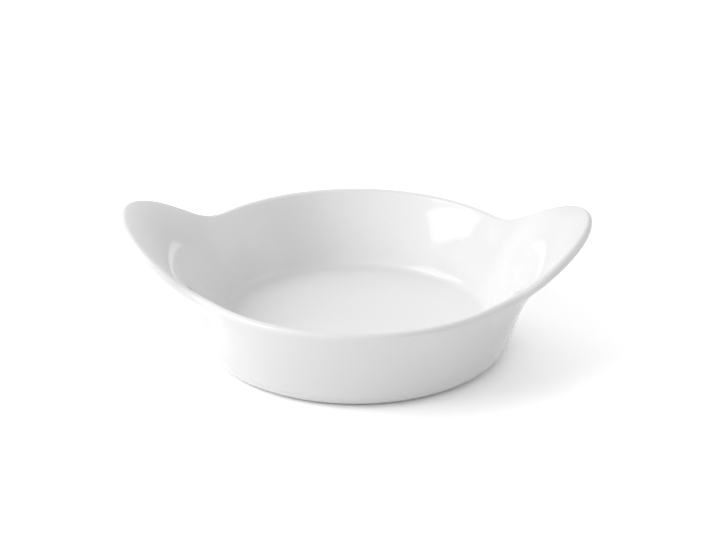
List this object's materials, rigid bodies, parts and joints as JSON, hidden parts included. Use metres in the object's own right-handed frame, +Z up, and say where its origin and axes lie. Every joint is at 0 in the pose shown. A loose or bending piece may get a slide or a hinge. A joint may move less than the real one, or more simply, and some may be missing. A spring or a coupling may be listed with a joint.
{
  "type": "tapas dish",
  "caption": "Shallow round dish of white glazed porcelain, with a rounded lip that rises and flares out into ears for lifting, and a foot ring to stand on.",
  "frame": {"origin": "under the middle of the bowl, on the plane that the foot ring stands on", "axes": "+X points at one ear along the line through both ears, +Y across it over the lip, +Z up out of the bowl"},
  "size_m": [0.1604, 0.1232, 0.048],
  "materials": {
    "white_glaze": "white porcelain under a clear gloss glaze"
  },
  "bodies": {
    "root": {"dish": "white_glaze"}
  },
  "joints": []
}
